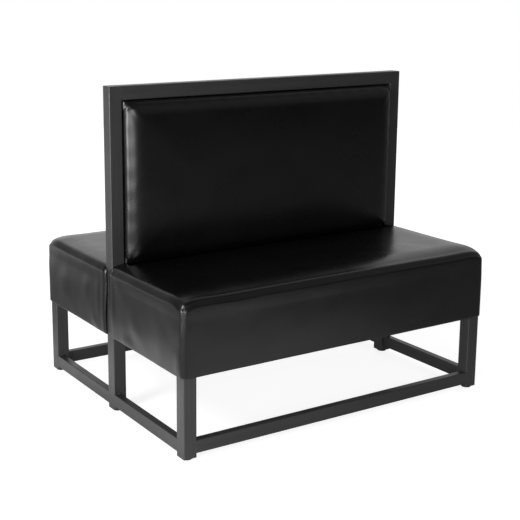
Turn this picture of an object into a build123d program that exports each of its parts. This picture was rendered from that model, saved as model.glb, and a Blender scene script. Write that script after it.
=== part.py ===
from build123d import *
import os
from math import radians, sqrt, tan

# Double-sided restaurant booth. A welded frame of steel tube carries an upholstered seat box on each
# side and an upholstered panel on each face of its back. Millimetres, +Z up. The origin is on the floor
# under the middle of the booth, X runs along the seats and the front seat faces -Y.

# The frame's overall sizes
frame_length = 1184.0  # over the outer faces of the posts, along X
frame_depth = 952.0  # over the outer faces of the legs, along Y
booth_height = 1073.0  # from the floor to the top of the top rail

# Square tube of the posts, legs, top rail and centre seat rail
tube_size = 44.45
tube_wall = 2.0
tube_corner_radius = 3.0
post_cap_thickness = 2.0

# Rectangular tube of the bottom rails and seat rails
rail_width = 25.4
rail_height = 42.0
rail_wall = 1.6
rail_corner_radius = 2.5
rail_floor_gap = 18.6  # from the floor to the underside of the bottom rails

# Levelling glide: a steel stem moulded into a nylon foot with a hexagon collar
glide_foot_radius = 16.0
glide_foot_height = 4.0
glide_foot_round = 1.5
glide_collar_flats = 15.0
glide_collar_height = 2.0
glide_stem_radius = 4.0
glide_stem_base_height = 1.5
glide_stem_chamfer = 0.8
glide_moulding_gap = 0.02
glide_travel = 12.0  # how far the foot screws out before the stem's top leaves the plug

# Threaded nylon plug in the lower end of each leg and post
plug_flange_thickness = 2.5
plug_body_height = 18.0
plug_wall_clearance = 0.15
plug_thread_clearance = 0.06

# Seat box: heights above the floor, boards and upholstery
seat_height = 505.0  # to the top of the crown
seat_underside_height = 256.0
pad_thickness = 67.5  # at the crown
deck_thickness = 18.0
board_thickness = 12.0
side_foam_thickness = 6.5
vinyl_thickness = 1.2
vinyl_ease = 0.3  # between the vinyl and what it covers
board_fit_gap = 0.5  # between a board and the steel beside it
seat_end_drop = 15.0  # fall of the crown from the middle to either end
seat_front_drop = 9.0  # fall of the crown from its ridge to the front edge
seat_ridge_setback = 170.0  # from the booth's middle plane to the ridge of the crown
seat_corner_radius = 18.0
seat_top_edge_radius = 17.0
seat_bottom_edge_radius = 8.0
pad_edge_bulge = 1.5  # of the pad beyond the side foam below it
vinyl_hem_width = 25.0
vinyl_return_width = 18.0
dust_cover_thickness = 0.8
dust_cover_inset = 12.0

# Back panels: boards, clearances and upholstery
core_thickness = 12.0
backing_thickness = 9.0
panel_frame_gap = 3.5
panel_sink = 9.0  # how far the panel's lower edge is below the seat's crown
panel_depth = 54.0  # from the core board to the crown of the cover
panel_seat_clearance = 0.5
panel_end_drop = 5.0  # fall of the crown from the middle to either end
panel_top_drop = 7.0  # fall of the crown from the middle to the top or bottom
panel_side_draw = 2.0  # how far each side is drawn in between its corners
panel_corner_radius = 20.0
panel_edge_radius = 19.0

# Tabs that hold the core board, and their screws
tab_length = 30.0
tab_height = 40.0
tab_thickness = 3.0
tab_rebate_clearance = 0.3
tab_height_shares = (0.15, 0.50, 0.85)

# Countersunk screws
screw_shank_radius = 2.1
screw_head_radius = 4.4
screw_head_angle = 82
screw_clearance = 0.1
deck_screw_length = 28.0
tab_screw_length = 9.0
deck_screws_per_long_rail = 4
deck_screws_per_end_rail = 2

# Push-in clips of the back panels
clip_head_radius = 8.0
clip_head_thickness = 1.5
clip_shank_radius = 3.0
clip_grip = 5.0  # length of shank inside the core board
clip_clearance = 0.05
clip_columns = 4
clip_rows = 2

cut_overrun = 10.0  # how far a cutting body runs past what it cuts

# Places worked out from the sizes above
half_length = frame_length / 2
half_depth = frame_depth / 2
half_tube = tube_size / 2
tube_centre_x = half_length - half_tube
leg_centre_y = half_depth - half_tube
opening_half_length = half_length - tube_size
board_half_length = opening_half_length - board_fit_gap
plug_underside = glide_foot_height + glide_collar_height
tube_foot = plug_underside + plug_flange_thickness
plug_top = tube_foot + plug_body_height
glide_stem_top = plug_top + glide_travel
vinyl_inset = vinyl_thickness + vinyl_ease
deck_top = seat_height - vinyl_inset - pad_thickness
deck_underside = deck_top - deck_thickness
board_bottom = seat_underside_height + vinyl_inset
seat_overhang = side_foam_thickness + vinyl_inset
core_face = core_thickness / 2
panel_half_length = opening_half_length - panel_frame_gap
panel_top = booth_height - tube_size - panel_frame_gap
panel_bottom_height = seat_height - panel_sink
panel_height = panel_top - panel_bottom_height
panel_middle_height = (panel_top + panel_bottom_height) / 2
panel_face = core_face + panel_depth
screw_head_height = (screw_head_radius - screw_shank_radius) / tan(radians(screw_head_angle / 2))

os.makedirs("parts", exist_ok=True)


def save(piece, label):
    piece.part.label = label
    export_step(piece.part, f"parts/{label}.step")


def save_front_and_rear(piece, front_label, rear_label):
    save(piece, front_label)
    with BuildPart() as rear_piece:
        mirror(piece.part, about=Plane.XZ)
    save(rear_piece, rear_label)


# Steel tubes

def square_tube(start, length):
    with BuildPart() as tube:
        with BuildSketch(start):
            RectangleRounded(tube_size, tube_size, tube_corner_radius)
            bore = tube_size - 2 * tube_wall
            RectangleRounded(bore, bore, tube_corner_radius - tube_wall, mode=Mode.SUBTRACT)
        extrude(amount=length)
    return tube


def rail_tube(start, length):
    with BuildPart() as tube:
        with BuildSketch(start):
            RectangleRounded(rail_width, rail_height, rail_corner_radius)
            RectangleRounded(
                rail_width - 2 * rail_wall,
                rail_height - 2 * rail_wall,
                rail_corner_radius - rail_wall,
                mode=Mode.SUBTRACT,
            )
        extrude(amount=length)
    return tube


def plane_up(x, y, z):
    return Plane(origin=(x, y, z), x_dir=(1, 0, 0), z_dir=(0, 0, 1))


def plane_along_x(x, y, z):
    return Plane(origin=(x, y, z), x_dir=(0, 1, 0), z_dir=(1, 0, 0))


def plane_along_y(x, y, z):
    return Plane(origin=(x, y, z), x_dir=(1, 0, 0), z_dir=(0, 1, 0))


SIDES = (("left", -1), ("right", 1))
ROWS = (("front", -1), ("rear", 1))

for side, sign in SIDES:
    post = square_tube(
        plane_up(sign * tube_centre_x, 0, tube_foot),
        booth_height - post_cap_thickness - tube_foot,
    )
    save(post, f"centre_post_{side}")

with BuildPart() as post_caps:
    with BuildSketch(Plane.XY.offset(booth_height - post_cap_thickness)):
        with Locations((-tube_centre_x, 0), (tube_centre_x, 0)):
            RectangleRounded(tube_size, tube_size, tube_corner_radius)
    extrude(amount=post_cap_thickness)
save(post_caps, "post_caps")

top_rail = square_tube(
    plane_along_x(-opening_half_length, 0, booth_height - half_tube),
    2 * opening_half_length,
)
save(top_rail, "top_rail")

for row, row_sign in ROWS:
    for side, sign in SIDES:
        leg = square_tube(
            plane_up(sign * tube_centre_x, row_sign * leg_centre_y, tube_foot),
            deck_underside - tube_foot,
        )
        save(leg, f"leg_{row}_{side}")

# Bottom rails, flush with the outer faces of the legs and posts

bottom_rail_centre_z = rail_floor_gap + rail_height / 2
end_rail_start_y = half_depth - tube_size
end_rail_length = end_rail_start_y - half_tube

for row, row_sign in ROWS:
    long_rail = rail_tube(
        plane_along_x(
            -opening_half_length,
            row_sign * (half_depth - rail_width / 2),
            bottom_rail_centre_z,
        ),
        2 * opening_half_length,
    )
    save(long_rail, f"bottom_rail_{row}")
    for side, sign in SIDES:
        end_rail = rail_tube(
            plane_along_y(
                sign * (half_length - rail_width / 2),
                min(row_sign * half_tube, row_sign * end_rail_start_y),
                bottom_rail_centre_z,
            ),
            end_rail_length,
        )
        save(end_rail, f"bottom_end_rail_{row}_{side}")

# Seat rails, behind the boards of each seat box, with holes for the deck's screws

seat_rail_centre_z = deck_underside - rail_height / 2
seat_rail_y = half_depth - board_thickness - rail_width / 2
seat_end_rail_x = half_length - board_thickness - rail_width / 2
centre_screw_y = (half_tube + core_face + board_fit_gap) / 2
long_screw_pitch = 2 * opening_half_length / deck_screws_per_long_rail
end_screw_pitch = end_rail_length / deck_screws_per_end_rail


def spread(count, pitch):
    """Places of count things at an even pitch about zero."""
    return [(number - (count - 1) / 2) * pitch for number in range(count)]


long_screw_xs = spread(deck_screws_per_long_rail, long_screw_pitch)
end_rail_middle_y = (end_rail_start_y + half_tube) / 2
end_screw_ys = [end_rail_middle_y + y for y in spread(deck_screws_per_end_rail, end_screw_pitch)]


def drill_rail_top(places):
    with Locations(*[(x, y, deck_underside) for x, y in places]):
        Hole(screw_shank_radius + screw_clearance, depth=rail_height / 2)


for row, row_sign in ROWS:
    with BuildPart() as seat_rail:
        add(
            rail_tube(
                plane_along_x(-opening_half_length, row_sign * seat_rail_y, seat_rail_centre_z),
                2 * opening_half_length,
            ).part
        )
        drill_rail_top([(x, row_sign * seat_rail_y) for x in long_screw_xs])
    save(seat_rail, f"seat_rail_{row}")
    for side, sign in SIDES:
        with BuildPart() as seat_end_rail:
            add(
                rail_tube(
                    plane_along_y(
                        sign * seat_end_rail_x,
                        min(row_sign * half_tube, row_sign * end_rail_start_y),
                        seat_rail_centre_z,
                    ),
                    end_rail_length,
                ).part
            )
            drill_rail_top([(sign * seat_end_rail_x, row_sign * y) for y in end_screw_ys])
        save(seat_end_rail, f"seat_end_rail_{row}_{side}")

with BuildPart() as seat_centre_rail:
    add(
        square_tube(
            plane_along_x(-opening_half_length, 0, deck_underside - half_tube),
            2 * opening_half_length,
        ).part
    )
    drill_rail_top([(x, y) for x in long_screw_xs for y in (-centre_screw_y, centre_screw_y)])
save(seat_centre_rail, "seat_centre_rail")

# Plugs in the tube ends, and the levelling glides that turn in them

foot_places = {
    "front_left": (-tube_centre_x, -leg_centre_y),
    "front_right": (tube_centre_x, -leg_centre_y),
    "centre_left": (-tube_centre_x, 0),
    "centre_right": (tube_centre_x, 0),
    "rear_left": (-tube_centre_x, leg_centre_y),
    "rear_right": (tube_centre_x, leg_centre_y),
}

with BuildPart() as tube_end_plugs:
    with BuildSketch(Plane.XY.offset(plug_underside)):
        with Locations(*foot_places.values()):
            RectangleRounded(tube_size, tube_size, tube_corner_radius)
    extrude(amount=plug_flange_thickness)
    with BuildSketch(Plane.XY.offset(tube_foot)):
        with Locations(*foot_places.values()):
            plug_size = tube_size - 2 * (tube_wall + plug_wall_clearance)
            RectangleRounded(plug_size, plug_size, tube_corner_radius - tube_wall)
    extrude(amount=plug_body_height)
    with Locations(*[(x, y, plug_top) for x, y in foot_places.values()]):
        Hole(
            glide_stem_radius + plug_thread_clearance,
            depth=plug_body_height + plug_flange_thickness,
        )
save(tube_end_plugs, "tube_end_plugs")


def glide_foot(x, y):
    with BuildPart() as foot:
        with BuildSketch(plane_up(x, y, 0)):
            Circle(glide_foot_radius)
        extrude(amount=glide_foot_height)
        fillet(foot.faces().sort_by(Axis.Z)[-1].edges(), glide_foot_round)
        with BuildSketch(plane_up(x, y, glide_foot_height)):
            RegularPolygon(glide_collar_flats / 2, 6, major_radius=False)
        extrude(amount=glide_collar_height)
        with Locations((x, y, plug_underside)):
            Hole(
                glide_stem_radius + glide_moulding_gap,
                depth=plug_underside - glide_stem_base_height,
            )
    return foot


def glide_stem(x, y):
    with BuildPart() as stem:
        with BuildSketch(plane_up(x, y, glide_stem_base_height)):
            Circle(glide_stem_radius)
        extrude(amount=glide_stem_top - glide_stem_base_height)
        chamfer(stem.faces().sort_by(Axis.Z)[-1].edges(), glide_stem_chamfer)
    return stem


for place, (foot_x, foot_y) in foot_places.items():
    save(glide_foot(foot_x, foot_y), f"glide_foot_{place}")
    save(glide_stem(foot_x, foot_y), f"glide_stem_{place}")

# Seat boxes. Each piece is made for the front seat and mirrored for the rear one.

seat_post_face = half_tube + board_fit_gap
tongue_rear = core_face + board_fit_gap


def seat_plan(side_inset, rear_inset):
    """Outline of the front seat, with a tongue that reaches back between the posts."""
    end_x = half_length + seat_overhang - side_inset
    front_y = -(half_depth + seat_overhang - side_inset)
    post_y = -(seat_post_face + rear_inset)
    tongue_x = board_half_length - rear_inset
    tongue_y = -(tongue_rear + rear_inset)
    Polygon(
        (-end_x, front_y),
        (end_x, front_y),
        (end_x, post_y),
        (tongue_x, post_y),
        (tongue_x, tongue_y),
        (-tongue_x, tongue_y),
        (-tongue_x, post_y),
        (-end_x, post_y),
        align=None,
    )


# A crown is an arc along X, turned about an axis along X, so that it falls to all four edges

def arc_radius(half_chord, drop):
    return (half_chord**2 + drop**2) / (2 * drop)


def crown_space(turning_plane, across_radius, along_radius, half_width, body_depth, inset):
    """The space under a crown, drawn down by inset.

    The turning plane holds the axis and faces away from the crown, so the surface's seam does too.
    """
    arc_top = across_radius - inset
    along = along_radius - inset
    arc_end = arc_top - along + sqrt(along**2 - half_width**2)
    base = across_radius - body_depth
    with BuildPart() as space:
        with BuildSketch(turning_plane):
            with BuildLine():
                ThreePointArc((-half_width, arc_end), (0, arc_top), (half_width, arc_end))
                Polyline(
                    (half_width, arc_end),
                    (half_width, base),
                    (-half_width, base),
                    (-half_width, arc_end),
                )
            make_face()
        revolve(axis=Axis(turning_plane.origin, (1, 0, 0)))
    return space


seat_half_length = half_length + seat_overhang + pad_edge_bulge
seat_along_radius = arc_radius(seat_half_length, seat_end_drop)
seat_across_radius = arc_radius(half_depth + seat_overhang - seat_ridge_setback, seat_front_drop)
seat_turning_plane = Plane(
    origin=(0, -seat_ridge_setback, seat_height - seat_across_radius),
    x_dir=(1, 0, 0),
    z_dir=(0, 1, 0),
)


def front_and_end_edges(face):
    return face.edges().filter_by(lambda edge: edge.center().Y < -half_depth / 4)


def seat_form(inset):
    """The upholstered box with its crown, drawn in by inset all over."""
    with BuildPart() as form:
        with BuildSketch(Plane.XY.offset(seat_underside_height + inset)):
            seat_plan(inset, inset)
        extrude(amount=seat_height - seat_underside_height)
        with BuildSketch(Plane.XY.offset(deck_top + inset)):
            seat_plan(inset - pad_edge_bulge, inset)
        extrude(amount=seat_height - deck_top)
        crown = crown_space(
            seat_turning_plane,
            seat_across_radius,
            seat_along_radius,
            seat_half_length + cut_overrun,
            2 * seat_height,
            inset,
        )
        add(crown.part, mode=Mode.INTERSECT)
        fillet(
            form.edges().filter_by(Axis.Z).filter_by(lambda edge: edge.center().Y < -half_depth),
            seat_corner_radius - inset,
        )
        fillet(
            front_and_end_edges(form.faces().sort_by(Axis.Z)[-1]), seat_top_edge_radius - inset
        )
        fillet(
            front_and_end_edges(form.faces().sort_by(Axis.Z)[0]), seat_bottom_edge_radius - inset
        )
        with BuildSketch(Plane.XY.offset(panel_bottom_height - panel_seat_clearance - inset)):
            Rectangle(frame_length, 2 * (panel_face + panel_seat_clearance + inset))
        extrude(amount=seat_height, mode=Mode.SUBTRACT)
    return form


def rectangle_between(low, high):
    """A rectangle by two of its corners, inside a sketch."""
    with Locations(((low[0] + high[0]) / 2, (low[1] + high[1]) / 2)):
        Rectangle(high[0] - low[0], high[1] - low[1])


def squares_round_legs(mode):
    """Squares round the two front legs with a fit gap, inside a sketch."""
    with Locations((-tube_centre_x, -leg_centre_y), (tube_centre_x, -leg_centre_y)):
        Rectangle(tube_size + 2 * board_fit_gap, tube_size + 2 * board_fit_gap, mode=mode)


# Vinyl cover: a skin over the box, open underneath inside its hem and behind between its returns
outer_form = seat_form(0)
skin_form = seat_form(vinyl_thickness)

with BuildPart() as seat_cover:
    add(outer_form.part)
    add(skin_form.part, mode=Mode.SUBTRACT)
    with BuildSketch(Plane.XY.offset(seat_underside_height)):
        hem_end_x = half_length + seat_overhang - vinyl_hem_width
        hem_front_y = -(half_depth + seat_overhang - vinyl_hem_width)
        rectangle_between((-hem_end_x, hem_front_y), (hem_end_x, 0))
        squares_round_legs(Mode.ADD)
    extrude(amount=2 * vinyl_thickness, mode=Mode.SUBTRACT)
    with BuildSketch(Plane.XY.offset(seat_underside_height)):
        return_x = half_length + seat_overhang - vinyl_return_width
        rectangle_between(
            (-return_x, -(seat_post_face + 2 * vinyl_thickness)),
            (return_x, 0),
        )
    extrude(amount=deck_top - seat_underside_height, mode=Mode.SUBTRACT)
save_front_and_rear(seat_cover, "front_seat_cover", "rear_seat_cover")

# Foam pad on the deck
pad_form = seat_form(vinyl_inset)

with BuildPart() as seat_pad:
    add(pad_form.part)
    with BuildSketch(Plane.XY.offset(deck_top)):
        rectangle_between((-frame_length, -frame_depth), (frame_length, frame_depth))
    extrude(amount=-seat_height, mode=Mode.SUBTRACT)
save_front_and_rear(seat_pad, "front_seat_pad", "rear_seat_pad")

# Thin foam on the outer faces of the box, one strip along the front and one on each end
with BuildPart() as seat_side_foam:
    add(pad_form.part)
    with BuildSketch(Plane.XY.offset(seat_underside_height)):
        rectangle_between((-half_length, -frame_depth), (half_length, -half_depth))
        rectangle_between((-frame_length, -half_depth), (-half_length, 0))
        rectangle_between((half_length, -half_depth), (frame_length, 0))
    extrude(amount=deck_top - seat_underside_height, mode=Mode.INTERSECT)
save_front_and_rear(seat_side_foam, "front_seat_side_foam", "rear_seat_side_foam")

# Plywood deck on the legs and seat rails, with notches round the posts
long_screw_places = [(x, -seat_rail_y) for x in long_screw_xs]
centre_screw_places = [(x, -centre_screw_y) for x in long_screw_xs]
end_screw_places = [(sign * seat_end_rail_x, -y) for _, sign in SIDES for y in end_screw_ys]
deck_screw_places = long_screw_places + centre_screw_places + end_screw_places

with BuildPart() as seat_deck:
    with BuildSketch(Plane.XY.offset(deck_underside)):
        rectangle_between((-half_length, -half_depth), (half_length, -seat_post_face - vinyl_inset))
        rectangle_between(
            (-board_half_length, -half_depth), (board_half_length, -(tongue_rear + vinyl_inset))
        )
    extrude(amount=deck_thickness)
    with Locations(*[(x, y, deck_top) for x, y in deck_screw_places]):
        CounterSinkHole(
            screw_shank_radius + screw_clearance,
            screw_head_radius + screw_clearance,
            depth=deck_thickness,
            counter_sink_angle=screw_head_angle,
        )
save_front_and_rear(seat_deck, "front_seat_deck", "rear_seat_deck")

# Plywood boards between the tubes, below the deck
with BuildPart() as seat_front_board:
    with BuildSketch(Plane.XY.offset(board_bottom)):
        rectangle_between(
            (-board_half_length, -half_depth), (board_half_length, -(half_depth - board_thickness))
        )
    extrude(amount=deck_underside - board_bottom)
save_front_and_rear(seat_front_board, "front_seat_front_board", "rear_seat_front_board")

with BuildPart() as seat_end_boards:
    with BuildSketch(Plane.XY.offset(board_bottom)):
        board_front_y = -(end_rail_start_y - board_fit_gap)
        board_rear_y = -(seat_post_face + vinyl_inset)
        rectangle_between(
            (-half_length, board_front_y), (-half_length + board_thickness, board_rear_y)
        )
        rectangle_between(
            (half_length - board_thickness, board_front_y), (half_length, board_rear_y)
        )
    extrude(amount=deck_underside - board_bottom)
save_front_and_rear(seat_end_boards, "front_seat_end_boards", "rear_seat_end_boards")

# Dust cover under the box, over the vinyl's hem
with BuildPart() as dust_cover:
    with BuildSketch(Plane.XY.offset(seat_underside_height - dust_cover_thickness)):
        dust_end_x = half_length + seat_overhang - dust_cover_inset
        dust_front_y = -(half_depth + seat_overhang - dust_cover_inset)
        rectangle_between((-dust_end_x, dust_front_y), (dust_end_x, -seat_post_face))
        squares_round_legs(Mode.SUBTRACT)
    extrude(amount=dust_cover_thickness)
save_front_and_rear(dust_cover, "front_seat_dust_cover", "rear_seat_dust_cover")


def screw(length):
    """A countersunk screw with its head flush at the place it is put, pointing down its axis."""
    top_down = (Align.CENTER, Align.CENTER, Align.MAX)
    Cone(screw_shank_radius, screw_head_radius, screw_head_height, align=top_down)
    Cylinder(screw_shank_radius, length, align=top_down)


with BuildPart() as deck_screws:
    with Locations(*[(x, y * flip, deck_top) for x, y in deck_screw_places for flip in (-1, 1)]):
        screw(deck_screw_length)
save(deck_screws, "deck_screws")

# Back core board between the posts, on the centre seat rail, screwed to tabs on the posts

core_top = booth_height - tube_size - board_fit_gap
core_height = core_top - deck_underside
tab_zs = [panel_bottom_height + share * panel_height for share in tab_height_shares]
tab_screw_x = opening_half_length - tab_length / 2
tab_places = [(sign * tab_screw_x, core_face, z) for _, sign in SIDES for z in tab_zs]


def plane_facing_rear(x, y, z):
    return Plane(origin=(x, y, z), x_dir=(-1, 0, 0), z_dir=(0, 1, 0))


def plane_facing_front(x, y, z):
    return Plane(origin=(x, y, z), x_dir=(1, 0, 0), z_dir=(0, -1, 0))


tab_planes = [plane_facing_rear(*place) for place in tab_places]

clip_pitch_x = 2 * panel_half_length / clip_columns
clip_pitch_z = panel_height / clip_rows
clip_places = [
    (x, panel_middle_height + z)
    for x in spread(clip_columns, clip_pitch_x)
    for z in spread(clip_rows, clip_pitch_z)
]

with BuildPart() as back_core_board:
    with BuildSketch(plane_along_y(0, -core_face, (core_top + deck_underside) / 2)):
        Rectangle(2 * board_half_length, core_height)
    extrude(amount=core_thickness)
    for tab_plane in tab_planes:
        with BuildSketch(tab_plane):
            Rectangle(
                tab_length + 2 * tab_rebate_clearance,
                tab_height + 2 * tab_rebate_clearance,
            )
        extrude(amount=-tab_thickness, mode=Mode.SUBTRACT)
    with Locations(*[Location(tab_plane) for tab_plane in tab_planes]):
        Hole(screw_shank_radius + screw_clearance, depth=tab_screw_length)
    with Locations(*[Location(plane_facing_front(x, -core_face, z)) for x, z in clip_places]):
        Hole(clip_shank_radius + clip_clearance, depth=clip_grip)
    with Locations(*[Location(plane_facing_rear(x, core_face, z)) for x, z in clip_places]):
        Hole(clip_shank_radius + clip_clearance, depth=clip_grip)
save(back_core_board, "back_core_board")

with BuildPart() as back_tabs:
    for tab_plane in tab_planes:
        with BuildSketch(tab_plane):
            Rectangle(tab_length, tab_height)
        extrude(amount=-tab_thickness)
    with Locations(*[Location(tab_plane) for tab_plane in tab_planes]):
        CounterSinkHole(
            screw_shank_radius + screw_clearance,
            screw_head_radius + screw_clearance,
            depth=tab_thickness,
            counter_sink_angle=screw_head_angle,
        )
save(back_tabs, "back_tabs")

with BuildPart() as tab_screws:
    with Locations(*[Location(tab_plane) for tab_plane in tab_planes]):
        screw(tab_screw_length)
save(tab_screws, "tab_screws")

# Back panels. Each piece is made for the front face and mirrored for the rear one.

panel_along_radius = arc_radius(panel_half_length, panel_end_drop)
panel_across_radius = arc_radius(panel_height / 2, panel_top_drop)
panel_turning_plane = Plane(
    origin=(0, panel_across_radius - panel_face, panel_middle_height),
    x_dir=(1, 0, 0),
    z_dir=(0, 0, 1),
)


def panel_form(inset):
    """The panel's cushion, open to the core board, drawn in by inset on its other sides."""
    corner_x = panel_half_length - inset
    corner_z = panel_height / 2 - inset
    side_x = corner_x - panel_side_draw
    side_z = corner_z - panel_side_draw
    with BuildPart() as form:
        with BuildSketch(plane_facing_front(0, -core_face, panel_middle_height)):
            with BuildLine():
                ThreePointArc((-corner_x, -corner_z), (0, -side_z), (corner_x, -corner_z))
                ThreePointArc((corner_x, -corner_z), (side_x, 0), (corner_x, corner_z))
                ThreePointArc((corner_x, corner_z), (0, side_z), (-corner_x, corner_z))
                ThreePointArc((-corner_x, corner_z), (-side_x, 0), (-corner_x, -corner_z))
            make_face()
        extrude(amount=panel_depth)
        crown = crown_space(
            panel_turning_plane,
            panel_across_radius,
            panel_along_radius,
            panel_half_length + cut_overrun,
            2 * panel_depth,
            inset,
        )
        add(crown.part, mode=Mode.INTERSECT)
        fillet(form.edges().filter_by(Axis.Y), panel_corner_radius - inset)
        fillet(form.faces().sort_by(Axis.Y)[0].edges(), panel_edge_radius - inset)
    return form


panel_skin = panel_form(vinyl_thickness)
with BuildPart() as panel_cover:
    add(panel_form(0).part)
    add(panel_skin.part, mode=Mode.SUBTRACT)
save_front_and_rear(panel_cover, "front_panel_cover", "rear_panel_cover")

panel_core = panel_form(vinyl_inset)
backing_face = core_face + backing_thickness

with BuildPart() as panel_pad:
    add(panel_core.part)
    split(bisect_by=Plane.XZ.offset(backing_face), keep=Keep.TOP)
save_front_and_rear(panel_pad, "front_panel_pad", "rear_panel_pad")

front_clip_planes = [plane_facing_front(x, -backing_face, z) for x, z in clip_places]

with BuildPart() as panel_backing:
    add(panel_core.part)
    split(bisect_by=Plane.XZ.offset(backing_face), keep=Keep.BOTTOM)
    with Locations(*[Location(clip_plane) for clip_plane in front_clip_planes]):
        CounterBoreHole(
            clip_shank_radius + clip_clearance,
            clip_head_radius + clip_clearance,
            clip_head_thickness,
            depth=backing_thickness,
        )
save_front_and_rear(panel_backing, "front_panel_backing", "rear_panel_backing")

with BuildPart() as panel_clips:
    for clip_plane in front_clip_planes:
        with BuildSketch(clip_plane):
            Circle(clip_head_radius)
        extrude(amount=-clip_head_thickness)
        with BuildSketch(clip_plane):
            Circle(clip_shank_radius)
        extrude(amount=-(backing_thickness + clip_grip))
    mirror(about=Plane.XZ)
save(panel_clips, "panel_clips")
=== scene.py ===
from math import pi, radians

import bmesh
import bpy
import numpy as np
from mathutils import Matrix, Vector, noise


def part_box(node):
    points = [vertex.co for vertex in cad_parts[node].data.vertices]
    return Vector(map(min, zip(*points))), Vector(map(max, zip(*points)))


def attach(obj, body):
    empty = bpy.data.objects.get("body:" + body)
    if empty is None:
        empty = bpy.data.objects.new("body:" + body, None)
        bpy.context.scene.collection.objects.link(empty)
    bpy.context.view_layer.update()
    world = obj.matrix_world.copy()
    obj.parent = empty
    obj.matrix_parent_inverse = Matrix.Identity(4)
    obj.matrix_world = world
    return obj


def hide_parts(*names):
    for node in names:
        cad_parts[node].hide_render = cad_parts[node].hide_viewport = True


# Double-sided restaurant booth: black vinyl upholstery on a black powder-coated steel frame.
# Metres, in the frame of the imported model: X along the seats, the front seat faces -Y, Z up.

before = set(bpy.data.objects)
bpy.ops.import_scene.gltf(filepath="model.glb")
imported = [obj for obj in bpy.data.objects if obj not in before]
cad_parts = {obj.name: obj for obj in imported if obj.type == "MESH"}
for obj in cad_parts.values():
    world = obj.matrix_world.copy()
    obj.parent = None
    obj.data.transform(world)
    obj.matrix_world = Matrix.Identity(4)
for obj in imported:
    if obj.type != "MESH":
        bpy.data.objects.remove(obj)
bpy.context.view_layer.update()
MM = 0.001
BOOTH = "booth"

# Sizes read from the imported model
seat_low, seat_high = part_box("front_seat_cover")
deck_low, deck_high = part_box("front_seat_deck")
board_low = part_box("front_seat_front_board")[0]
panel_low, panel_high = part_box("front_panel_cover")
backing_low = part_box("front_panel_backing")[0]
dust_low, dust_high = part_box("front_seat_dust_cover")
post_low, post_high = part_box("centre_post_right")
leg_low, leg_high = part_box("leg_front_right")
rail_low, rail_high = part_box("bottom_rail_front")
end_rail_low, end_rail_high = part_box("bottom_end_rail_front_right")
top_rail_low, top_rail_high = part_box("top_rail")


def in_scene(name, data):
    """A new object of the scene, with its mesh, camera or light."""
    thing = bpy.data.objects.new(name, data)
    bpy.context.scene.collection.objects.link(thing)
    return thing


# Camera, lights and floor

def place_camera():
    """The photograph's viewpoint, from a fit to the edges of the frame."""
    camera_data = bpy.data.cameras.new("camera")
    camera_data.sensor_width = 36
    camera_data.lens = 75.95
    camera_data.shift_x = 0.083
    camera_data.shift_y = -0.0963
    camera_data.clip_end = 60
    camera = in_scene("camera", camera_data)
    camera.location = (-2.1119, -3.0919, 1.3972)
    camera.rotation_euler = (radians(78.174), radians(-0.115), radians(-31.942))
    bpy.context.scene.camera = camera
    bpy.context.scene.view_settings.view_transform = "Standard"


def softbox(name, place, target, width, height, power):
    """An area light that the camera doesn't see."""
    light = bpy.data.lights.new(name, "AREA")
    light.shape = "RECTANGLE"
    light.size = width
    light.size_y = height
    light.energy = power
    lamp = in_scene(name, light)
    lamp.location = place
    lamp.visible_camera = False
    lamp.rotation_euler = (Vector(target) - Vector(place)).to_track_quat("-Z", "Y").to_euler()


def light_studio():
    """Two wide low softboxes, on the left and in front of it, and two small ones above them."""
    middle = (0, 0, 0.5)
    softbox("left_softbox", (-4.6, -1.2, 0.85), middle, 2.4, 1.4, 145)
    softbox("front_left_softbox", (-3.1, -3.7, 1.0), middle, 2.8, 1.8, 100)
    softbox("upper_left_softbox", (-2.2, -0.6, 1.8), (0, 0, 0.7), 0.5, 0.5, 22)
    softbox("front_softbox", (-1.2, -3.6, 2.4), (0, 0, 0.6), 1.2, 1.2, 7)


def feed(tree, node, inputs):
    """Gives each input, by its name or number, a value or a link from another node's socket."""
    for name, value in inputs.items():
        if isinstance(value, bpy.types.NodeSocket):
            tree.links.new(value, node.inputs[name])
        else:
            node.inputs[name].default_value = value


def added(tree, kind, inputs=None, **settings):
    """A new node with its settings and its inputs."""
    node = tree.nodes.new(kind)
    for name, value in settings.items():
        setattr(node, name, value)
    feed(tree, node, inputs or {})
    return node


def shade_by(tree, value, low, high, stops):
    """A grey that follows a value from low to high, through (place, grey) stops."""
    spread = added(tree, "ShaderNodeMapRange", {"Value": value, "From Min": low, "From Max": high})
    ramp = added(tree, "ShaderNodeValToRGB", {"Fac": spread.outputs["Result"]})
    ramp.color_ramp.interpolation = "EASE"
    while len(ramp.color_ramp.elements) < len(stops):
        ramp.color_ramp.elements.new(0.5)
    for element, (place, grey) in zip(ramp.color_ramp.elements, stops):
        element.position = (place - low) / (high - low)
        element.color = (grey, grey, grey, 1)
    return ramp.outputs["Color"]


def combined(tree, operation, first, second):
    """Two values put together by one operation of arithmetic."""
    return added(tree, "ShaderNodeMath", {0: first, 1: second}, operation=operation).outputs[0]


# The room's light, by the bearing in degrees, 0 behind the booth and 90 on its right, and by the height
# of the direction, from -1 straight down to 1 straight up
BACKDROP_ROUND = (
    (-180, 0.03), (-140, 0.03), (-100, 0.05), (-60, 0.06), (-42, 0.14), (-28, 0.3), (-18, 0.42),
    (0, 1.1), (20, 1.0), (40, 0.8), (65, 0.42), (90, 0.22), (120, 0.06), (180, 0.03),
)
BACKDROP_UP = ((-0.4, 1.25), (0.6, 1.25), (0.8, 1.1), (0.95, 0.2))
FRONT_WALL_ROUND = ((85, 0), (120, 0.22), (155, 0.22), (178, 0))
FRONT_WALL_UP = ((0.05, 0), (0.3, 1), (0.6, 1), (0.8, 0))
CEILING_UP = ((0.35, 0), (0.75, 0.12))


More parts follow.
